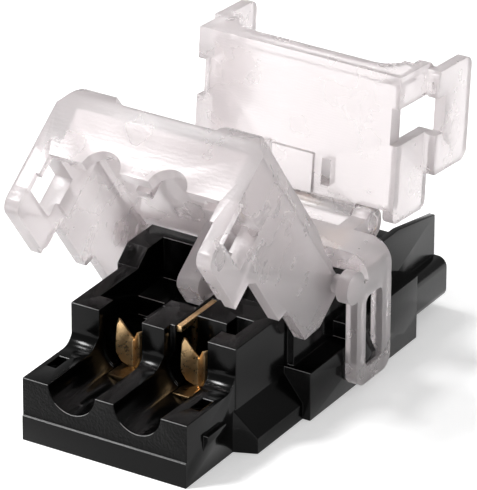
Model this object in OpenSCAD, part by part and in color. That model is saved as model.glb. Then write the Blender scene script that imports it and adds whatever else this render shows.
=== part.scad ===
// Solderless two-wire connector for a flat light strip.
// Millimetres. +Z up, +Y from the wire end towards the strip end, and the
// origin at the centre of the flat underside that the base rests on.
// Both clear covers stand open, as in the photograph.

/* [Base] */
// Length of the base
base_len = 24.6; // [23.4:0.1:27]
// Width of the base at the wire end
front_w = 10; // [9.8:0.05:10.2]
// Width of the foot flange beside the posts
flange_w = 12.4; // [11.6:0.1:12.8]
// Width of the base under the hinges
body_w = 13.3; // [12.8:0.1:14]
// How far the raised tail's sides stand back from the body's
tail_inset = 0.4; // [0.2:0.05:0.5]
// Width across the side walls of the tall part
wall_w = 10.9; // [10.8:0.05:11]
// Height of the low step in front of the posts
low_h = 3.6; // [3.4:0.05:3.8]
// Length of the low step in front of the posts
low_len = 4.8; // [4.6:0.05:5]
// Width across the posts
post_w = 10.1; // [10:0.05:10.7]
// Height of the posts beside the wires
post_h = 5.9; // [5.7:0.05:6.1]
// Where the posts end and the tall part begins, from the wire end
block_y = 9.9; // [9.7:0.05:10.1]
// Height of the tall part
wall_h = 6.7; // [6.6:0.05:7.2]
// Height of the side walls at the strip end
wall_end_h = 5.4; // [5.2:0.05:6]
// Height of the shoulder under the strip cover
shoulder_h = 3.7; // [3.5:0.05:3.8]
// Height of the shoulder under the wire cover
step_h = 2.8; // [2.5:0.05:2.9]
// Length of the raised tail at the strip end
tail_len = 3.9; // [2.8:0.1:4.2]
// Height of the gap under the tail
tail_lift = 0.6; // [0.4:0.05:1]
// Height of the tail's upper side
tail_h = 3; // [2.8:0.05:3.4]
// Radius of the fillet at the foot of the posts
fillet_r = 0.9; // [0.4:0.05:1.1]

/* [Wires and strip] */
// Distance between the two wires, and between the two strip pads
pitch = 4; // [3.9:0.05:4.1]
// Diameter of the wire that the front notches take
wire_d = 2.9; // [2.4:0.05:3]
// Width of the channel between two posts
channel_w = 2.65; // [2.4:0.05:2.7]
// Where the channels end, from the wire end
channel_end = 7; // [6.9:0.05:7.4]
// Width of the light strip
strip_w = 10; // [9:0.1:10.1]
// Height of the floor that the strip lies on
strip_z = 3.6; // [3.5:0.05:3.7]
// Where the strip stops inside the base, from the wire end
strip_stop = 14.8; // [14.5:0.1:15.2]

/* [Contacts] */
// Thickness of the contact sheet
sheet_t = 0.3; // [0.2:0.05:0.35]
// Width of the contact's floor
contact_w = 1.4; // [1.2:0.05:1.5]
// Height of the contact's floor above the underside
contact_z = 2.15; // [1.9:0.05:2.3]
// Height of the fork tips above the contact's floor
fork_h = 2.75; // [2.4:0.05:3.1]
// How much lower the right blade of a fork is
blade_drop = 0.4; // [0:0.05:0.6]
// Reach of each blade of a fork
blade_w = 1.1; // [0.9:0.05:1.2]
// Where the two blades of a fork meet, from the wire end
fork_y = 6.35; // [6.2:0.05:6.5]
// Height of the points that pierce the strip
point_h = 1.4; // [1:0.05:1.8]

/* [Covers] */
// Length of the strip cover from its pin to its free end
strip_cover_len = 8.7; // [8.4:0.05:9.4]
// Thickness of the strip cover's top
strip_plate_t = 1; // [0.8:0.05:1.2]
// Thickness of the wire cover's top
wire_plate_t = 0.65; // [0.5:0.05:0.9]
// Height of the wire cover's raised shoulders above its top
brow_h = 0.65; // [0.3:0.05:0.8]
// Thickness of the covers' side walls
side_t = 0.65; // [0.5:0.05:0.7]
// Clearance between a cover and the base
play = 0.12; // [0.1:0.01:0.15]
// How far open the wire cover stands
wire_open = 54; // [0:1:80]
// How far open the strip cover stands
strip_open = 85; // [0:1:90]

/* [Hinges and saddle] */
// Radius of the hinge pins
pin_r = 0.5; // [0.4:0.05:0.5]
// Clearance around a hinge pin
pin_play = 0.05; // [0.03:0.01:0.08]
// The wire cover's pin, from the wire end
wire_pin_y = 12.8; // [12.7:0.05:12.9]
// The strip cover's pin, from the wire end
strip_pin_y = 18.8; // [18.6:0.05:19]
// Thickness of the saddle's side loops
loop_t = 0.7; // [0.6:0.05:0.9]
// Width of each side loop along the base
loop_len = 3.5; // [3.3:0.05:3.8]
// Height of the lower end of the side loops
loop_z = 0.5; // [0.3:0.05:1]
// Width of the rim around each loop's window
loop_rim = 0.9; // [0.7:0.05:1]
// Thickness of the strap over the base
strap_t = 1.1; // [0.8:0.05:1.3]

/* [Hidden] */
$fn = 48;
eps = 0.01;
black = "#161617";
brass = "#c99a5b";
clear_pink = [0.86, 0.82, 0.83, 0.5];

// Heights and places that follow from the sizes above
rest_len = base_len - tail_len;
tail_w = body_w - 2 * tail_inset;
wire_z = low_h + 0.1;
flange_y = low_len + 0.3;
body_y = block_y - 0.3;
bay_w = min(strip_w + 0.2, wall_w - 0.7);
contact_top = strip_z - sheet_t;
contact_end = strip_pin_y + 4.5;
floor_y = low_len - 0.2;
end_play = 0.2;
slope_len = 1;
kink_y = rest_len;
wall_low_h = (wall_h + wall_end_h) / 2 + 0.1;
cover_in = wall_w / 2 + play;
cover_out = cover_in + side_t;
wire_pin_z = wall_h - 0.1;
strip_pin_z = wall_h + 0.4;
ear_r = pin_r + 0.4;
pin_skin = 0.15;
loop_in = max(body_w / 2, cover_out) + 0.1;
loop_out = loop_in + loop_t;
loop_y = wire_pin_y + 0.2;
loop_end = loop_y + loop_len;
strap_z = wall_h + 0.05;
strap_top = strap_z + strap_t;

// A box between two opposite corners
module block(low, high) {
    translate(low) cube(high - low);
}

// The same shape on both sides of the middle
module both_sides() {
    children();
    mirror([1, 0, 0]) children();
}

// An outline in Y and Z, made solid from x_low to x_high
module across(x_low, x_high) {
    translate([x_low, 0, 0]) rotate([90, 0, 90]) linear_extrude(x_high - x_low) children();
}

// An outline in X and Z, made solid from y_low to y_high
module lengthwise(y_low, y_high) {
    translate([0, y_high, 0]) rotate([90, 0, 0]) linear_extrude(y_high - y_low) children();
}

// A round bar along X, centred at y and z
module bar_x(r, x_low, x_high, y, z) {
    translate([x_low, y, z]) rotate([0, 90, 0]) cylinder(h = x_high - x_low, r = r);
}

// A round bar along Y, centred at x and z
module bar_y(r, y_low, y_high, x, z) {
    translate([x, y_low, z]) rotate([-90, 0, 0]) cylinder(h = y_high - y_low, r = r);
}

// A flat outline between two corners, with round corners
module round_rect(low, high, r) {
    translate([low.x + r, low.y]) square([high.x - low.x - 2 * r, high.y - low.y]);
    translate([low.x, low.y + r]) square([high.x - low.x, high.y - low.y - 2 * r]);
    for (x = [low.x + r, high.x - r], y = [low.y + r, high.y - r]) translate([x, y]) circle(r);
}

// Turns a cover about a pin at y and z
module swing(y, z, angle) {
    translate([0, y, z]) rotate([angle, 0, 0]) translate([0, -y, -z]) children();
}

// The pieces are drawn from the wire end. This puts the origin under the middle of the flat underside
module placed() {
    translate([0, -rest_len / 2, 0]) children();
}

// The black base

nub_y = low_len - 3.1;
nub_len = 1.8;
nub_z = 1.4;
nub_h = 0.9;
nub_out = front_w / 2 + 0.28;
parting_z = 1.43;
face_step = 0.08;
foot_h = 0.9;
foot_top = 2.4;
flange_front = 0.5;
post_depth = 1.4;
pocket_rim = 0.9;
catch_y = loop_y + loop_rim + 0.3;
catch_len = loop_len - 2 * loop_rim - 0.6;
catch_z = loop_z + loop_rim + 0.05;
catch_h = 1.5;
web_in = contact_w / 2;
web_y = low_len + 0.7;
web_end = 9;
web_h = 0.35;
ledge_x = -pitch / 2 + 0.05;
ledge_z = contact_z + 2.7;
well_end = wire_pin_y - 0.4;
slot_play = 0.05;
leg_half = 0.65;
leg_z = 2.8;
leg_y = 9.7;
leg_reach = norm([wire_pin_y - leg_y, wire_pin_z - leg_z]);

// The low step, whose lower face stands a little proud of the upper one
module front_step() {
    block([-front_w / 2, 0, 0], [front_w / 2, flange_y + 1, parting_z]);
    block([-front_w / 2, face_step, parting_z - eps], [front_w / 2, flange_y + 1, low_h]);
    both_sides() lengthwise(nub_y, nub_y + nub_len)
        polygon([[front_w / 2 - eps, nub_z], [nub_out, nub_z + 0.6], [nub_out, nub_z + nub_h],
                 [front_w / 2 - eps, nub_z + nub_h]]);
}

// The foot flange, with a slope up to the posts' sides
module foot_flange() {
    difference() {
        lengthwise(flange_y - flange_front, body_y + 1) polygon([[-flange_w / 2, 0], [flange_w / 2, 0],
            [flange_w / 2, foot_h], [post_w / 2 - eps, foot_top], [-post_w / 2 + eps, foot_top],
            [-flange_w / 2, foot_h]]);
        both_sides() translate([front_w / 2, flange_y - flange_front, -1])
            rotate([0, 0, atan(2 * flange_front / (flange_w - front_w))]) translate([0, -5, 0]) cube([5, 5, 10]);
    }
}

// The block that the posts and their channels are cut from
module post_block() {
    block([-post_w / 2, low_len, 0], [post_w / 2, block_y + 1, post_h]);
    difference() {
        block([-front_w / 2, low_len - fillet_r, low_h - eps], [front_w / 2, low_len + eps, low_h + fillet_r]);
        bar_x(fillet_r, -front_w, front_w, low_len - fillet_r, low_h + fillet_r);
    }
}

// The wide body under the hinges, its walls, the tail, and the catches for the side loops
module rear_body() {
    block([-body_w / 2, body_y, 0], [body_w / 2, rest_len, step_h]);
    block([-body_w / 2, loop_y + 0.9, 0], [body_w / 2, rest_len, shoulder_h]);
    lengthwise(rest_len - 1, base_len) round_rect([-tail_w / 2, tail_lift], [tail_w / 2, tail_h], 0.55);
    across(-wall_w / 2, wall_w / 2) polygon([[block_y, 1], [block_y, post_h], [block_y + slope_len, wall_h],
        [loop_end + 1.4, wall_h], [loop_end + 2.2, wall_low_h], [kink_y, wall_low_h], [base_len, wall_end_h],
        [base_len, tail_lift + 1]]);
    both_sides() lengthwise(catch_y, catch_y + catch_len)
        polygon([[body_w / 2 - eps, catch_z], [loop_out - 0.2, catch_z], [loop_out - 0.2, catch_z + 0.4],
                 [body_w / 2 - eps, catch_z + catch_h]]);
}

// The way for one wire: a round notch, the channel and its round bottom. Its back part reaches left by back_left
module wire_way(back_left) {
    bar_y(wire_d / 2, -1, low_len + 0.5, 0, wire_z);
    bar_y(channel_w / 2, low_len - 1, channel_end, 0, wire_z);
    block([-channel_w / 2, low_len - fillet_r - 0.1, wire_z], [channel_w / 2, web_y - slot_play, post_h + 1]);
    block([-back_left, web_y - slot_play - eps, wire_z], [channel_w / 2, channel_end, post_h + 1]);
}

// The slot that holds one contact, from the wire end to the strip bay
module contact_slot() {
    half = contact_w / 2 + slot_play;
    step_y = block_y + 1.3;
    block([-half, floor_y - end_play / 2, contact_z - eps], [half, channel_end, wire_z]);
    block([-half, channel_end - 1, contact_z - eps], [half, step_y, contact_z + sheet_t + slot_play]);
    block([-half, step_y - 1.1, contact_z - eps], [half, step_y, strip_z + 0.3]);
    block([-half, step_y - 0.7, contact_top - eps], [half, strip_stop + 0.1, strip_z + 0.3]);
    block([-half, step_y - 0.7, contact_top - eps], [half, contact_end + end_play, strip_z + eps]);
}

// The slot for the right contact's web, through the flat top behind the channels
module web_slot() {
    block([-web_in - sheet_t - slot_play, channel_end - 0.2, contact_z - eps],
          [-web_in + slot_play, web_end + slot_play, post_h + 1]);
}

// The well behind the left post, with a ledge on its right and a higher floor over the contact,
// and the pocket behind the right post
module wells() {
    x_out = post_w / 2 - pocket_rim;
    well_y = low_len + post_depth;
    block([-x_out, well_y, contact_z + 1.05], [ledge_x, block_y, post_h + 1]);
    block([-x_out, channel_end - eps, ledge_z], [-leg_half - 0.1, block_y + eps, post_h + 1]);
    block([-x_out, block_y - eps, strip_z + 0.7], [-leg_half - 0.1, well_end, wall_h + 1]);
    block([pitch / 2 + channel_w / 2 - 0.2, well_y, 2], [x_out, channel_end + 1, post_h + 1]);
}

// The room that the wire cover's middle leg swings in
module leg_slot() {
    half = leg_half + 0.15;
    intersection() {
        bar_x(leg_reach + 0.15, -half, half, wire_pin_y, wire_pin_z);
        block([-half - eps, 0, leg_z - 0.15], [half + eps, wire_pin_y + 0.2, wall_h + 1]);
    }
}

module base_housing() {
    color(black) placed() difference() {
        union() {
            front_step();
            foot_flange();
            post_block();
            rear_body();
        }
        for (x = [-pitch / 2, pitch / 2]) translate([x, 0, 0]) {
            wire_way(x < 0 ? channel_w / 2 : web_in + sheet_t + slot_play);
            contact_slot();
        }
        translate([pitch / 2, 0, 0]) web_slot();
        wells();
        leg_slot();
        both_sides() block([front_w / 2 - 0.9, nub_y + 0.15, low_h - 0.6],
                           [front_w / 2 - 0.3, nub_y + nub_len - 0.4, low_h + 1]);
        block([-bay_w / 2, strip_stop, strip_z], [bay_w / 2, base_len + 1, wall_h + 1]);
    }
}

// A stamped brass contact, centred on its wire

blade_turn = 54;

// The floor, with a step up to the strip side
module contact_floor() {
    step_y = block_y + 0.9;
    across(-contact_w / 2, contact_w / 2) polygon([
        [floor_y, contact_z], [step_y, contact_z], [step_y, contact_top], [contact_end, contact_top],
        [contact_end, strip_z], [step_y - sheet_t, strip_z], [step_y - sheet_t, contact_z + sheet_t],
        [floor_y, contact_z + sheet_t]]);
}

// One leaf-shaped blade of the fork, seen flat, from the fold outwards
module blade(high) {
    linear_extrude(sheet_t) polygon([[0, 0], [0.35 * blade_w, 0], [0.75 * blade_w, 0.12 * high],
        [blade_w, 0.32 * high], [blade_w, 0.62 * high], [0.94 * blade_w, 0.9 * high], [0.84 * blade_w, high],
        [0.72 * blade_w, 0.97 * high], [0.34 * blade_w, 0.72 * high], [0, 0.54 * high]]);
}

// A blade where it meets the other one
module fork_blade(high) {
    translate([0, fork_y, contact_z + sheet_t - eps]) rotate([0, 0, -90 + blade_turn])
        rotate([90, 0, 0]) blade(high);
}

// The two blades meet at the strip side and open towards the wire
module fork() {
    fork_blade(fork_h - blade_drop);
    mirror([1, 0, 0]) fork_blade(fork_h);
}

// A web beside the floor, whose top edge lies level with the flat top behind the fork
module side_web() {
    foot_y = channel_end - 0.1;
    across(-web_in - sheet_t, -web_in) polygon([[foot_y, contact_z], [web_end, contact_z], [web_end, post_h],
        [web_y, post_h], [web_y, post_h - web_h], [foot_y, post_h - web_h]]);
}

// The two points that go through the strip's pad
module strip_points() {
    for (y = [strip_pin_y + 2.2, strip_pin_y + 3.8]) across(-sheet_t, sheet_t)
        polygon([[y - 0.45, strip_z - eps], [y + 0.45, strip_z - eps], [y, strip_z + point_h]]);
}

module contact() {
    contact_floor();
    fork();
    strip_points();
}

module contact_left() {
    color(brass) placed() translate([-pitch / 2, 0, 0]) contact();
}

module contact_right() {
    color(brass) placed() translate([pitch / 2, 0, 0]) {
        contact();
        side_web();
    }
}

// The clear saddle that carries both hinges

strap_r = 1.3;
strap_gap = 0.4;
strap_y = wire_pin_y + ear_r + strap_gap;
knuckle_half = 3.9;
rear_ear_in = knuckle_half + 0.1;
rear_ear_out = bay_w / 2 - 0.15;

// A strap's cross section: a top between two sides, with round shoulders
module strap_outline(half, low, high, r) {
    translate([-half, low]) square([2 * half, high - r - low]);
    translate([-half + r, low]) square([2 * (half - r), high - low]);
    for (x = [-half + r, half - r]) translate([x, high - r]) circle(r);
}

// One side loop, with the eye for the wire cover's pin
module side_loop() {
    window_top = wire_pin_z - ear_r - 0.1;
    difference() {
        union() {
            across(loop_in, loop_out) round_rect([loop_y, loop_z], [loop_end, strap_top - strap_r], 0.8);
            bar_x(ear_r, loop_in, loop_out, wire_pin_y, wire_pin_z);
        }
        across(loop_in - 1, loop_out + 1)
            round_rect([loop_y + loop_rim, loop_z + loop_rim], [loop_end - loop_rim, window_top], 0.4);
    }
}

// One ear for the strip cover's pin, on an arm behind the strap
module rear_ear() {
    block([rear_ear_in, loop_end - 1, strap_z], [rear_ear_out, strip_pin_y, strap_top - 0.15]);
    bar_x(ear_r, rear_ear_in, rear_ear_out, strip_pin_y, strip_pin_z);
}

module hinge_saddle() {
    color(clear_pink) placed() difference() {
        union() {
            both_sides() side_loop();
            both_sides() rear_ear();
            difference() {
                lengthwise(strap_y, loop_end) strap_outline(loop_out, wire_pin_z - 0.6, strap_top, strap_r);
                block([-loop_in, 0, 0], [loop_in, base_len, strap_z]);
            }
        }
        both_sides() bar_x(pin_r + pin_play, loop_in - 0.1, loop_out - pin_skin, wire_pin_y, wire_pin_z);
        both_sides() bar_x(pin_r + pin_play, rear_ear_in - 1, rear_ear_out + 1, strip_pin_y, strip_pin_z);
    }
}

// The clear cover over the wires, drawn closed

cover_y = 0.1;
arm_z = 0.2;
arm_end = low_len - 0.15;
arm_in = front_w / 2 + play;
window_z = nub_z + 0.3;
window_h = 2.4;
cover_z = wall_h + 0.15;
cover_top_z = cover_z + wire_plate_t;
brow_z = cover_top_z + brow_h;
lug_end = wire_pin_y + 0.6;
brow_end = wire_pin_y - 1.4;
side_low = foot_h + 1.25;
arch_r = 1.15;
front_t = 0.8;

// One side wall: the front arm, the edge over the foot flange, and the lug behind it
module cover_side() {
    across(cover_in, cover_out) difference() {
        round_rect([cover_y, arm_z], [lug_end, brow_z], 0.7);
        polygon([[arm_end, -1], [arm_end, side_low - 0.4], [arm_end + 0.6, side_low], [body_y - 0.4, side_low], [body_y - 0.1, step_h + 0.15], [wire_pin_y - 0.2, step_h + 0.15],
            [lug_end, step_h + 1.4], [lug_end + 1, step_h + 1.4], [lug_end + 1, -1]]);
        translate([wire_pin_y - 0.3, wire_pin_z + 0.6]) square([2, 3]);
    }
}

// The inner part of a front arm, stepped back below to pass the base's side nub
module arm_inner() {
    difference() {
        across(arm_in, cover_in + eps) round_rect([cover_y, arm_z], [arm_end - 0.1, brow_z], 0.7);
        block([arm_in - 1, -1, -1], [nub_out + 0.07, low_len, nub_z + nub_h + 0.25]);
    }
}

// A cover's pin stub, from x_low to x_high
module pin_stub(x_low, x_high, y, z) {
    bar_x(pin_r, x_low, x_high, y, z);
}

// The top and its end wall, with an arch over each wire
module cover_top() {
    difference() {
        union() {
            block([-cover_out, cover_y, cover_z], [cover_out, wire_pin_y - 0.35, brow_z]);
            block([-cover_out, cover_y, low_h + 0.15], [cover_out, cover_y + front_t, brow_z]);
        }
        for (x = [-pitch / 2, pitch / 2]) bar_y(arch_r, -1, 2, x, wire_z - 0.1);
    }
}

// What presses the wires down: a foot before each fork, and the middle leg
module wire_feet() {
    foot_half = 0.42;
    for (x = [-pitch / 2, pitch / 2])
        block([x - foot_half, low_len + 0.1, wire_z + 1.5], [x + foot_half, fork_y - 0.95, cover_z + eps]);
    across(-leg_half, leg_half) round_rect([leg_y, leg_z], [wire_pin_y - 0.6, cover_z + 0.5], 0.6);
}

// The outer skin: raised, sloping shoulders on both sides of a lower middle
module cover_envelope() {
    middle = 3;
    intersection() {
        lengthwise(-1, wire_pin_y + 2) polygon([[-cover_out, -3], [cover_out, -3], [cover_out, cover_top_z - 0.8],
            [cover_out - 1, brow_z], [middle + 0.5, brow_z], [middle, cover_top_z], [-middle, cover_top_z],
            [-middle - 0.5, brow_z], [1 - cover_out, brow_z], [-cover_out, cover_top_z - 0.8]]);
        across(-cover_out - 1, cover_out + 1) difference() {
            round_rect([cover_y, -3], [wire_pin_y + 4, brow_z], 0.9);
            polygon([[brow_end - 1.2, brow_z + eps], [brow_end, cover_top_z], [wire_pin_y + 5, cover_top_z],
                [wire_pin_y + 5, brow_z + eps]]);
        }
    }
}

module wire_cover() {
    color(clear_pink) placed() swing(wire_pin_y, wire_pin_z, -wire_open) {
        intersection() {
            difference() {
                union() {
                    both_sides() cover_side();
                    both_sides() arm_inner();
                    cover_top();
                    wire_feet();
                }
                both_sides() block([arm_in - 1, cover_y + 0.45, window_z],
                                   [cover_out + 1, cover_y + 3.15, window_z + window_h]);
            }
            cover_envelope();
        }
        both_sides() pin_stub(cover_out - eps, loop_out - pin_skin - 0.05, wire_pin_y, wire_pin_z);
    }
}

// The clear cover over the strip, drawn closed

plate_z = wall_low_h + 0.15;
plate_top = plate_z + strip_plate_t;
plate_y = strip_pin_y + ear_r + 0.15;
strip_end = strip_pin_y + strip_cover_len;
side_z = shoulder_h + 0.15;
bar_in = tail_w / 2 + play;
bar_out = bar_in + side_t;
bar_y_low = max(rest_len + 0.3, strip_pin_y + 2.5);
bar_z = tail_lift + 0.45;
bar_top = side_z + 0.75;
window_high = strip_end - 1.8;
window_low = window_high - 2.1;
lip_low = 1.4;
lip_corner = 2.4;
pad_slot_y = strip_pin_y + 1.6;
pad_slot_len = 1.5;
tab_end = strip_pin_y + 3.3;
edge_cut = 0.45;

// One side: the wall beside the plate, and the bar that hangs outside the tail
module strip_side() {
    difference() {
        union() {
            across(cover_in, cover_out) round_rect([strip_pin_y + 0.3, side_z], [strip_end, plate_top], 0.5);
            block([cover_in, bar_y_low, side_z], [bar_out, strip_end - 0.3, side_z + 0.6]);
            across(bar_in, bar_out) round_rect([bar_y_low, bar_z], [strip_end - 0.3, bar_top], 0.6);
        }
        block([cover_out - edge_cut, window_low, side_z - 0.1], [cover_out + 1, window_high, plate_top + 1]);
        block([cover_in - 1, window_low, side_z - 0.1], [bar_out + 1, window_high, plate_z]);
    }
}

// The end wall, low in the middle and deep beside the strip
module end_lip() {
    deep = plate_z - lip_low;
    lengthwise(strip_end - 0.8, strip_end) difference() {
        strap_outline(cover_out, deep, plate_top - eps, 0.4);
        translate([lip_corner / 2 - cover_out, deep - 1]) square([2 * cover_out - lip_corner, lip_low]);
        translate([lip_corner - cover_out, deep - 1]) square([2 * (cover_out - lip_corner), 1.5 * lip_low]);
        for (x = [lip_corner - cover_out, cover_out - lip_corner]) translate([x, deep - 0.1]) circle(lip_corner / 2);
    }
}

// The top, with a slot over each pad, a raised tab between them and the round knuckle at the pin
module strip_top() {
    tab_half = 1.3;
    difference() {
        union() {
            block([-cover_out, plate_y, plate_z], [cover_out, strip_end, plate_top]);
            block([-knuckle_half, strip_pin_y, plate_z], [knuckle_half, plate_y + eps, plate_top]);
            bar_x(ear_r, -knuckle_half, knuckle_half, strip_pin_y, strip_pin_z);
            block([-tab_half, plate_y, plate_top - eps], [tab_half, tab_end, plate_top + 0.25]);
        }
        for (x = [-pitch / 2, pitch / 2])
            block([x - 0.27, pad_slot_y, plate_z - 1], [x + 0.27, pad_slot_y + pad_slot_len, plate_top + 1]);
        both_sides() block([cover_out - edge_cut, window_low, 0], [cover_out + 1, window_high, plate_top + 1]);
    }
}

module strip_cover() {
    color(clear_pink) placed() swing(strip_pin_y, strip_pin_z, strip_open) {
        both_sides() strip_side();
        strip_top();
        end_lip();
        both_sides() pin_stub(knuckle_half - eps, rear_ear_out - 0.05, strip_pin_y, strip_pin_z);
    }
}

base_housing();
contact_left();
contact_right();
hinge_saddle();
wire_cover();
strip_cover();
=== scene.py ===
"""A connector for a flat light strip.

A black base, two brass contacts, a clear saddle and two clear hinged covers, on a pale floor.
"""

import math

import bpy
from mathutils import Matrix, Vector


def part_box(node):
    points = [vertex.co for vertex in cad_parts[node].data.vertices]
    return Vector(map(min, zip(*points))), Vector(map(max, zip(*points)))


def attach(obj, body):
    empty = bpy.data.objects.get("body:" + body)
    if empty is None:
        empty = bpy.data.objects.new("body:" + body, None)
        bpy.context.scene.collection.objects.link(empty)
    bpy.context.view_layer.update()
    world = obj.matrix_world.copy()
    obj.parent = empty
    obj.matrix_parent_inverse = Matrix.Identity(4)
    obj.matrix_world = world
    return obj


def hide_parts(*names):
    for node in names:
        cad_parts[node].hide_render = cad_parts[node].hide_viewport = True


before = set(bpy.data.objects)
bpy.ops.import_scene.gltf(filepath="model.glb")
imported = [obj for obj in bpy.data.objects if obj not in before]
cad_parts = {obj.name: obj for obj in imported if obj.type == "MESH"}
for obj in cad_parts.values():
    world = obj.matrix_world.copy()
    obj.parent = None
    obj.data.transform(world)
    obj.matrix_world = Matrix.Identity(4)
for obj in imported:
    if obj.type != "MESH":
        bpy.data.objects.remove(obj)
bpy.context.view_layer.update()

bl_info = {
    "name": "Light strip connector",
    "version": (1, 0, 0),
    "blender": (4, 5, 0),
    "location": "3D View > Sidebar > Connector",
    "description": "Finishes the pieces of a light strip connector and sets them on a pale floor",
    "category": "Add Mesh",
}

MM = 0.001

# Where the base's front face stands, in the frame's own coordinates
FRONT_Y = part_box("base_housing")[0].y

# The photograph's camera: angles in degrees, and distances from the foot of the front face
PHOTO_WIDTH_PX = 477
PHOTO_FOCAL_PX = 5820
CAMERA_AZIMUTH = 31.5
CAMERA_ELEVATION = 26.8
CAMERA_ROLL = -0.2
CAMERA_RIGHT = 6.956 * MM
CAMERA_UP = 11.291 * MM
CAMERA_BACK = 300 * MM
CAMERA_NEAR = 0.02
CAMERA_FAR = 20
SENSOR_MM = 36

# Softboxes: name, place and size in metres, and power in watts
SOFTBOXES = (
    ("Key softbox", (-0.21, -0.2, 0.34), 0.085, 1.5),
    ("Top softbox", (-0.2, 0.0, 0.4), 0.08, 0.5),
    ("Left softbox", (-0.36, 0.05, 0.2), 0.07, 0.3),
)
SOFTBOX_TARGET = (0, 0, 0.006)

# Strength of the room's light, and how much brighter the room itself looks
ROOM_LIGHT = 0.38
ROOM_LIFT = 0.62

# Width of the floor in metres, and how much brighter it looks than its light makes it
FLOOR_SIZE = 6
FLOOR_LIFT = 0.42

# How a CAD node's triangles are merged into flat faces, and which of its edges are sharp
MERGE_DISTANCE = 0.002 * MM
FLAT_ANGLE = math.radians(1)
SHARP_ANGLE = math.radians(30)

# Values of the materials. A GRAIN is the scale of a noise, and a BUMP a distance and a strength.
# A ROUGHNESS or SHADE is a ramp's two stops (position, value), and POINTS are positions alone.

# Black base
BLACK_SPECULAR = 0.15
BLACK_GRAIN = 2600
BLACK_ROUGHNESS = ((0.3, 0.13), (0.7, 0.22))
BLACK_BUMP = (0.012 * MM, 0.25)

# The grainy front face of the base, above its parting line
FRONT_DEPTH = 0.13 * MM
PARTING_Z = 1.45 * MM
FRONT_GRAIN = 6500
FRONT_EXTRA_ROUGHNESS = 0.22
FRONT_BUMP = (0.09 * MM, 0.9)

# The base's edges, rounded in the shading, with a painted highlight, paler grey, where they face
# up and forwards
EDGE_RADIUS = 0.07 * MM
EDGE_SAMPLES = 8
EDGE_HIGHLIGHT_GAIN = 12
EDGE_HIGHLIGHT_AIM = (0.0, -0.707, 0.707)
EDGE_HIGHLIGHT_AIM_LEAST = 0.86
EDGE_HIGHLIGHT_POINTS = (0.25, 0.9)
EDGE_HIGHLIGHT_GREY = 0.45

# Brass contacts, whose floors below this height get a painted shade, dark in the channels
BRASS_GRAIN = 3800
BRASS_POINTS = (0.34, 0.56)
BRASS_DARKENING = 0.6
BRASS_ROUGHNESS = ((0.3, 0.22), (0.7, 0.42))
BRASS_BUMP = (0.02 * MM, 0.5)
CHANNEL_TOP = 2.5 * MM
CHANNEL_SHADE = ((0.4, 0.16), (0.6, 1.0))

# Clear saddle and covers
CLEAR_IOR = 1.46
CLEAR_TRANSMISSION = 0.74
CLEAR_GRAIN = 1800
CLEAR_POINTS = (0.2, 0.8)
CLEAR_DARKENING = 0.95
CLEAR_ROUGHNESS = ((0.2, 0.22), (0.8, 0.36))
CLEAR_BUMP = (0.008 * MM, 0.3)
RIPPLE_SCALE = 2000
RIPPLE_BEND = 6
RIPPLE_BUMP = (0.005 * MM, 0.45)


# Settings that a user would change

class MouldSettings(bpy.types.PropertyGroup):
    """Edges of the moulded and stamped pieces."""

    base_edge: bpy.props.FloatProperty(
        name="Base edge", description="Width of the rounded edges of the black base",
        default=0.13 * MM, unit="LENGTH", precision=5)
    clear_edge: bpy.props.FloatProperty(
        name="Clear edge", description="Width of the rounded edges of the clear pieces",
        default=0.16 * MM, unit="LENGTH", precision=5)
    brass_edge: bpy.props.FloatProperty(
        name="Brass edge", description="Width of the rolled edges of the stamped contacts",
        default=0.035 * MM, unit="LENGTH", precision=5)


class FinishSettings(bpy.types.PropertyGroup):
    """Colours of the object's materials and the floor."""

    black: bpy.props.FloatVectorProperty(
        name="Black", description="Colour of the moulded base", subtype="COLOR",
        size=3, min=0, max=1, default=(0.001, 0.001, 0.001))
    brass: bpy.props.FloatVectorProperty(
        name="Brass", description="Colour of the contacts", subtype="COLOR",
        size=3, min=0, max=1, default=(0.95, 0.64, 0.33))
    clear: bpy.props.FloatVectorProperty(
        name="Clear", description="Tint of the clear covers", subtype="COLOR",
        size=3, min=0, max=1, default=(0.89, 0.84, 0.845))
    floor: bpy.props.FloatVectorProperty(
        name="Floor", description="Colour of the floor", subtype="COLOR",
        size=3, min=0, max=1, default=(0.9, 0.9, 0.9))


# Helpers that several pieces share

def choose(thing):
    """Selects only this object and makes it the active one."""
    bpy.ops.object.select_all(action="DESELECT")
    thing.select_set(True)
    bpy.context.view_layer.objects.active = thing


def copy_of(node, name):
    """A separate copy of a CAD node, with its loose triangles merged into clean flat faces."""
    choose(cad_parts[node])
    bpy.ops.object.duplicate()
    piece = bpy.context.view_layer.objects.active
    piece.name = name
    for key in list(piece.keys()):
        if key.startswith("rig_"):
            del piece[key]
    piece.parent = None
    piece.matrix_world = Matrix.Identity(4)
    bpy.ops.object.mode_set(mode="EDIT")
    bpy.ops.mesh.select_all(action="SELECT")
    bpy.ops.mesh.remove_doubles(threshold=MERGE_DISTANCE)
    bpy.ops.mesh.dissolve_limited(angle_limit=FLAT_ANGLE)
    bpy.ops.object.mode_set(mode="OBJECT")
    return piece


def soften_edges(piece, width, segments=3):
    """Rounds the piece's sharp edges as a mould does, and smooths the shading between them."""
    bevel = piece.modifiers.new("Rounded edges", "BEVEL")
    bevel.width = width
    bevel.segments = segments
    bevel.limit_method = "ANGLE"
    bevel.angle_limit = SHARP_ANGLE
    bevel.miter_outer = "MITER_ARC"
    choose(piece)
    bpy.ops.object.modifier_apply(modifier=bevel.name)
    bpy.ops.object.shade_smooth_by_angle(angle=SHARP_ANGLE)


def finish_piece(piece, node, body, material):
    """Gives a piece its material and body, in place of its CAD node."""
    piece.data.materials.clear()
    piece.data.materials.append(material)
    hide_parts(node)
    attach(piece, body)


# Nodes and node groups that several materials share

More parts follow.
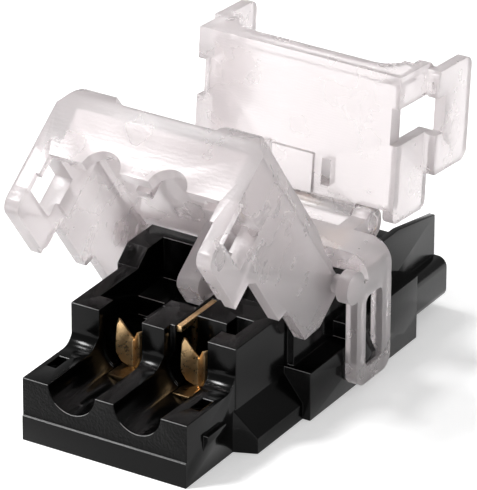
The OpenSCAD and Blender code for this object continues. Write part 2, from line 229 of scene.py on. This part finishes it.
def fill_inputs(tree, node, values):
    """Fills a node's first inputs from sockets, which are linked, or plain values."""
    for socket, value in zip(node.inputs, values):
        if isinstance(value, bpy.types.NodeSocket):
            tree.links.new(value, socket)
        else:
            socket.default_value = value


def math_node(tree, operation, first, second):
    """The result of a Math node over sockets or numbers."""
    node = tree.nodes.new("ShaderNodeMath")
    node.operation = operation
    fill_inputs(tree, node, (first, second))
    return node.outputs["Value"]


def vector_node(tree, operation, first, second):
    """A Vector Math node over sockets or vectors."""
    node = tree.nodes.new("ShaderNodeVectorMath")
    node.operation = operation
    fill_inputs(tree, node, (first, second))
    return node


def object_place(tree):
    """The place of a point in its object's own coordinates."""
    return tree.nodes.new("ShaderNodeTexCoord").outputs["Object"]


def object_axes(tree):
    """The X, Y and Z of a point in its object's own coordinates."""
    split = tree.nodes.new("ShaderNodeSeparateXYZ")
    tree.links.new(object_place(tree), split.inputs["Vector"])
    return split.outputs


def seen_by(tree, *rays):
    """One for rays of any of these kinds, and zero for all others."""
    path = tree.nodes.new("ShaderNodeLightPath")
    seen = path.outputs[rays[0]]
    for ray in rays[1:]:
        seen = math_node(tree, "MAXIMUM", seen, path.outputs[ray])
    return seen


def new_group(name, inputs, outputs):
    """An empty shader node group with named inputs (with defaults) and outputs."""
    group = bpy.data.node_groups.new(name, "ShaderNodeTree")
    for socket, default in inputs:
        made = group.interface.new_socket(
            socket, in_out="INPUT", socket_type="NodeSocketFloat")
        made.default_value = default
    for socket in outputs:
        group.interface.new_socket(socket, in_out="OUTPUT", socket_type="NodeSocketFloat")
    start = group.nodes.new("NodeGroupInput")
    end = group.nodes.new("NodeGroupOutput")
    return group, start, end


def mould_grain_group():
    """Fine grain of a surface: a height for bump, and broad patches that vary the gloss."""
    name = "Mould grain"
    if name in bpy.data.node_groups:
        return bpy.data.node_groups[name]
    group, start, end = new_group(name, [("Scale", BLACK_GRAIN)], ["Height", "Patches"])
    place = object_place(group)
    fine = group.nodes.new("ShaderNodeTexNoise")
    fine.inputs["Detail"].default_value = 5
    fine.inputs["Roughness"].default_value = 0.6
    group.links.new(place, fine.inputs["Vector"])
    group.links.new(start.outputs["Scale"], fine.inputs["Scale"])
    group.links.new(fine.outputs["Fac"], end.inputs["Height"])
    broad = group.nodes.new("ShaderNodeTexNoise")
    broad.inputs["Scale"].default_value = 420
    broad.inputs["Detail"].default_value = 3
    group.links.new(place, broad.inputs["Vector"])
    group.links.new(broad.outputs["Fac"], end.inputs["Patches"])
    return group


def ripple_group():
    """Flow ripples in clear plastic: wavy lines bent by a broad noise."""
    name = "Flow ripples"
    if name in bpy.data.node_groups:
        return bpy.data.node_groups[name]
    group, start, end = new_group(
        name, [("Scale", RIPPLE_SCALE), ("Bend", RIPPLE_BEND)], ["Height"])
    waves = group.nodes.new("ShaderNodeTexWave")
    waves.wave_type = "BANDS"
    waves.bands_direction = "Z"
    waves.inputs["Detail"].default_value = 3
    waves.inputs["Detail Scale"].default_value = 1.4
    waves.inputs["Detail Roughness"].default_value = 0.6
    group.links.new(object_place(group), waves.inputs["Vector"])
    group.links.new(start.outputs["Scale"], waves.inputs["Scale"])
    group.links.new(start.outputs["Bend"], waves.inputs["Distortion"])
    group.links.new(waves.outputs["Fac"], end.inputs["Height"])
    return group


def add_group(tree, group, **values):
    """Places a node group in a material, with its own values."""
    node = tree.nodes.new("ShaderNodeGroup")
    node.node_tree = group
    for name, value in values.items():
        node.inputs[name].default_value = value
    return node


def new_material(name):
    """A material with its tree and Principled shader."""
    material = bpy.data.materials.new(name)
    material.use_nodes = True
    return material, material.node_tree, material.node_tree.nodes["Principled BSDF"]


def ramp(tree, fac, stops):
    """A colour ramp over two stops of (position, grey value or colour)."""
    node = tree.nodes.new("ShaderNodeValToRGB")
    tree.links.new(fac, node.inputs["Fac"])
    for element, (position, value) in zip(node.color_ramp.elements, stops):
        element.position = position
        colour = value if isinstance(value, tuple) else (value, value, value)
        element.color = (*colour, 1)
    return node.outputs["Color"]


def bump(tree, height, distance, strength, normal=None):
    """The normal of a Bump node over a height, in metres of distance."""
    node = tree.nodes.new("ShaderNodeBump")
    node.inputs["Distance"].default_value = distance
    node.inputs["Strength"].default_value = strength
    tree.links.new(height, node.inputs["Height"])
    if normal is not None:
        tree.links.new(normal, node.inputs["Normal"])
    return node.outputs["Normal"]


def rounded_normal(tree):
    """The normal of the base's surface with its edges rounded in the shading."""
    node = tree.nodes.new("ShaderNodeBevel")
    node.samples = EDGE_SAMPLES
    node.inputs["Radius"].default_value = EDGE_RADIUS
    return node.outputs["Normal"]


def edge_highlight_mask(tree, rounded):
    """Where a highlight is painted: where the rounded normal leaves the flat one, on edges that
    face up and forwards.
    """
    flat = tree.nodes.new("ShaderNodeNewGeometry").outputs["Normal"]
    likeness = vector_node(tree, "DOT_PRODUCT", rounded, flat).outputs["Value"]
    bend = math_node(tree, "SUBTRACT", 1, likeness)
    on_edge = math_node(tree, "MULTIPLY", bend, EDGE_HIGHLIGHT_GAIN)
    limited = math_node(tree, "MINIMUM", on_edge, 1)
    aim = vector_node(tree, "DOT_PRODUCT", rounded, EDGE_HIGHLIGHT_AIM).outputs["Value"]
    well_aimed = math_node(tree, "GREATER_THAN", aim, EDGE_HIGHLIGHT_AIM_LEAST)
    return math_node(tree, "MULTIPLY", limited, well_aimed)


def shade_stops(points, darkening, colour):
    """Stops of a ramp from a darker shade of a colour to the colour itself."""
    dark = tuple(darkening * part for part in colour)
    return list(zip(points, (dark, tuple(colour))))


# Materials

def black_plastic():
    """Glossy black moulding, with a painted pale highlight on the edges that face up and
    forwards, and a grainy upper front face.
    """
    colours = bpy.context.scene.connector_finish
    material, tree, shader = new_material("Black moulding")
    shader.inputs["Specular IOR Level"].default_value = BLACK_SPECULAR

    axes = object_axes(tree)
    near_front = math_node(tree, "LESS_THAN", axes["Y"], FRONT_Y + FRONT_DEPTH)
    above_parting = math_node(tree, "GREATER_THAN", axes["Z"], PARTING_Z)
    front_mask = math_node(tree, "MULTIPLY", near_front, above_parting)

    grain = add_group(tree, mould_grain_group(), Scale=BLACK_GRAIN)
    roughness = ramp(tree, grain.outputs["Patches"], BLACK_ROUGHNESS)
    rough_front = math_node(tree, "MULTIPLY", front_mask, FRONT_EXTRA_ROUGHNESS)
    total = math_node(tree, "ADD", roughness, rough_front)
    tree.links.new(total, shader.inputs["Roughness"])

    rounded = rounded_normal(tree)
    # Painted highlight: edges that face up and forwards are coloured pale grey instead of black
    edge_highlight_stops = list(zip(EDGE_HIGHLIGHT_POINTS, (tuple(colours.black), EDGE_HIGHLIGHT_GREY)))
    colour = ramp(tree, edge_highlight_mask(tree, rounded), edge_highlight_stops)
    tree.links.new(colour, shader.inputs["Base Color"])

    front_grain = add_group(tree, mould_grain_group(), Scale=FRONT_GRAIN)
    front_height = math_node(tree, "MULTIPLY", front_grain.outputs["Height"], front_mask)
    soft = bump(tree, grain.outputs["Height"], *BLACK_BUMP, rounded)
    normal = bump(tree, front_height, *FRONT_BUMP, soft)
    tree.links.new(normal, shader.inputs["Normal"])
    return material


def stamped_brass():
    """Stamped brass, with darker patches and fine marks, and a painted shade that darkens it in
    the channels.
    """
    colours = bpy.context.scene.connector_finish
    material, tree, shader = new_material("Stamped brass")
    shader.inputs["Metallic"].default_value = 1

    grain = add_group(tree, mould_grain_group(), Scale=BRASS_GRAIN)
    patchy = ramp(
        tree, grain.outputs["Patches"],
        shade_stops(BRASS_POINTS, BRASS_DARKENING, colours.brass))
    # Painted shade: brass lower than the channel top is darkened
    raised = math_node(tree, "GREATER_THAN", object_axes(tree)["Z"], CHANNEL_TOP)
    shade = ramp(tree, raised, CHANNEL_SHADE)
    colour = vector_node(tree, "MULTIPLY", patchy, shade).outputs["Vector"]
    tree.links.new(colour, shader.inputs["Base Color"])

    roughness = ramp(tree, grain.outputs["Height"], BRASS_ROUGHNESS)
    tree.links.new(roughness, shader.inputs["Roughness"])
    normal = bump(tree, grain.outputs["Height"], *BRASS_BUMP)
    tree.links.new(normal, shader.inputs["Normal"])
    return material


def clear_plastic():
    """Clear plastic with a faint warm tint, flow ripples and a slightly uneven gloss."""
    colours = bpy.context.scene.connector_finish
    material, tree, shader = new_material("Clear plastic")
    shader.inputs["IOR"].default_value = CLEAR_IOR
    shader.inputs["Transmission Weight"].default_value = CLEAR_TRANSMISSION

    grain = add_group(tree, mould_grain_group(), Scale=CLEAR_GRAIN)
    tint = ramp(
        tree, grain.outputs["Patches"],
        shade_stops(CLEAR_POINTS, CLEAR_DARKENING, colours.clear))
    tree.links.new(tint, shader.inputs["Base Color"])
    roughness = ramp(tree, grain.outputs["Patches"], CLEAR_ROUGHNESS)
    tree.links.new(roughness, shader.inputs["Roughness"])

    ripple = add_group(tree, ripple_group())
    soft = bump(tree, grain.outputs["Height"], *CLEAR_BUMP)
    normal = bump(tree, ripple.outputs["Height"], *RIPPLE_BUMP, soft)
    tree.links.new(normal, shader.inputs["Normal"])
    return material


def pale_floor():
    """A matt floor that shows a little brighter to the eye, to mirrors and through glass."""
    material = bpy.data.materials.new("Pale floor")
    material.use_nodes = True
    tree = material.node_tree
    tree.nodes.clear()
    output = tree.nodes.new("ShaderNodeOutputMaterial")
    diffuse = tree.nodes.new("ShaderNodeBsdfDiffuse")
    diffuse.inputs["Color"].default_value = (*bpy.context.scene.connector_finish.floor, 1)
    glow = tree.nodes.new("ShaderNodeEmission")
    seen = seen_by(tree, "Is Camera Ray", "Is Glossy Ray", "Is Transmission Ray")
    strength = math_node(tree, "MULTIPLY", seen, FLOOR_LIFT)
    tree.links.new(strength, glow.inputs["Strength"])
    both = tree.nodes.new("ShaderNodeAddShader")
    fill_inputs(tree, both, (diffuse.outputs["BSDF"], glow.outputs["Emission"]))
    tree.links.new(both.outputs["Shader"], output.inputs["Surface"])
    return material


def shared_material(name, maker):
    """The material of this name, made on first use."""
    return bpy.data.materials.get(name) or maker()


# The parts of the stage

def add_camera(scene):
    """Sets up the camera that was fitted to the photograph."""
    azimuth = math.radians(CAMERA_AZIMUTH)
    elevation = math.radians(CAMERA_ELEVATION)
    roll = math.radians(CAMERA_ROLL)
    level = Vector((math.cos(azimuth), math.sin(azimuth), 0))
    look = Vector((
        -math.sin(azimuth) * math.cos(elevation),
        math.cos(azimuth) * math.cos(elevation),
        -math.sin(elevation),
    ))
    upright = level.cross(look)
    right = level * math.cos(roll) - upright * math.sin(roll)
    up = level * math.sin(roll) + upright * math.cos(roll)
    shift = right * CAMERA_RIGHT + up * CAMERA_UP - look * CAMERA_BACK
    bpy.ops.object.camera_add(location=shift + Vector((0, FRONT_Y, 0)))
    camera = bpy.context.object
    camera.name = "Photo camera"
    camera.rotation_euler = Matrix((right, up, -look)).transposed().to_euler()
    camera.data.sensor_fit = "HORIZONTAL"
    camera.data.sensor_width = SENSOR_MM
    camera.data.lens = PHOTO_FOCAL_PX / PHOTO_WIDTH_PX * SENSOR_MM
    camera.data.clip_start = CAMERA_NEAR
    camera.data.clip_end = CAMERA_FAR
    scene.camera = camera


def add_floor():
    """Lays the pale floor under the connector."""
    bpy.ops.mesh.primitive_plane_add(size=FLOOR_SIZE, location=(0, 0, 0))
    floor = bpy.context.object
    floor.name = "Floor"
    floor.data.materials.append(pale_floor())


def add_softboxes():
    """Hangs the softboxes, each one facing the connector."""
    for name, place, size, power in SOFTBOXES:
        bpy.ops.object.light_add(type="AREA", location=place)
        lamp = bpy.context.object
        lamp.name = name
        lamp.data.size = size
        lamp.data.energy = power
        towards = Vector(SOFTBOX_TARGET) - Vector(place)
        lamp.rotation_euler = towards.to_track_quat("-Z", "Y").to_euler()


def add_room(scene):
    """Surrounds the stage with a white room, which looks brighter than it shines."""
    world = bpy.data.worlds.new("Pale room")
    scene.world = world
    world.use_nodes = True
    tree = world.node_tree
    back = tree.nodes["Background"]
    back.inputs["Color"].default_value = (1, 1, 1, 1)
    seen = seen_by(tree, "Is Camera Ray", "Is Transmission Ray")
    lift = math_node(tree, "MULTIPLY", seen, ROOM_LIFT)
    strength = math_node(tree, "ADD", lift, ROOM_LIGHT)
    tree.links.new(strength, back.inputs["Strength"])


# One operator for the stage, and one for each piece or group of like pieces

class CONNECTOR_OT_stage(bpy.types.Operator):
    """Sets the camera, the lights and the pale floor"""

    bl_idname = "connector.stage"
    bl_label = "Stage"

    def execute(self, context):
        add_camera(context.scene)
        add_floor()
        add_softboxes()
        add_room(context.scene)
        context.scene.view_settings.view_transform = "Standard"
        return {"FINISHED"}


class CONNECTOR_OT_base(bpy.types.Operator):
    """Makes the glossy black base with rounded mould edges"""

    bl_idname = "connector.base"
    bl_label = "Base housing"

    def execute(self, context):
        piece = copy_of("base_housing", "black_base")
        soften_edges(piece, context.scene.connector_mould.base_edge)
        material = shared_material("Black moulding", black_plastic)
        finish_piece(piece, "base_housing", "base", material)
        return {"FINISHED"}


class CONNECTOR_OT_contacts(bpy.types.Operator):
    """Makes the two stamped brass contacts"""

    bl_idname = "connector.contacts"
    bl_label = "Contacts"

    def execute(self, context):
        for side in ("left", "right"):
            piece = copy_of(f"contact_{side}", f"brass_contact_{side}")
            soften_edges(piece, context.scene.connector_mould.brass_edge, segments=2)
            material = shared_material("Stamped brass", stamped_brass)
            finish_piece(piece, f"contact_{side}", "base", material)
        return {"FINISHED"}


class CONNECTOR_OT_clear_pieces(bpy.types.Operator):
    """Makes the clear saddle and the two clear covers"""

    bl_idname = "connector.clear_pieces"
    bl_label = "Clear saddle and covers"

    def execute(self, context):
        for node, body, name in (
            ("hinge_saddle", "base", "clear_saddle"),
            ("wire_cover", "wire_cover", "clear_wire_cover"),
            ("strip_cover", "strip_cover", "clear_strip_cover"),
        ):
            piece = copy_of(node, name)
            soften_edges(piece, context.scene.connector_mould.clear_edge)
            material = shared_material("Clear plastic", clear_plastic)
            finish_piece(piece, node, body, material)
        return {"FINISHED"}


class CONNECTOR_PT_panel(bpy.types.Panel):
    """Lists the connector's settings and pieces"""

    bl_idname = "CONNECTOR_PT_panel"
    bl_label = "Connector"
    bl_space_type = "VIEW_3D"
    bl_region_type = "UI"
    bl_category = "Connector"

    def draw(self, context):
        layout = self.layout
        for group in (context.scene.connector_mould, context.scene.connector_finish):
            for name in group.__annotations__:
                layout.prop(group, name)
        for operator in OPERATORS:
            layout.operator(operator.bl_idname)


OPERATORS = (
    CONNECTOR_OT_stage,
    CONNECTOR_OT_base,
    CONNECTOR_OT_contacts,
    CONNECTOR_OT_clear_pieces,
)
CLASSES = (MouldSettings, FinishSettings, *OPERATORS, CONNECTOR_PT_panel)


def register():
    """Registers the classes and the scene's settings."""
    for made in CLASSES:
        bpy.utils.register_class(made)
    bpy.types.Scene.connector_mould = bpy.props.PointerProperty(type=MouldSettings)
    bpy.types.Scene.connector_finish = bpy.props.PointerProperty(type=FinishSettings)


def unregister():
    """Removes the settings and the classes."""
    del bpy.types.Scene.connector_finish
    del bpy.types.Scene.connector_mould
    for made in reversed(CLASSES):
        bpy.utils.unregister_class(made)


def main():
    """Makes every piece in order."""
    register()
    bpy.ops.connector.stage()
    bpy.ops.connector.base()
    bpy.ops.connector.contacts()
    bpy.ops.connector.clear_pieces()


if __name__ == "__main__":
    main()
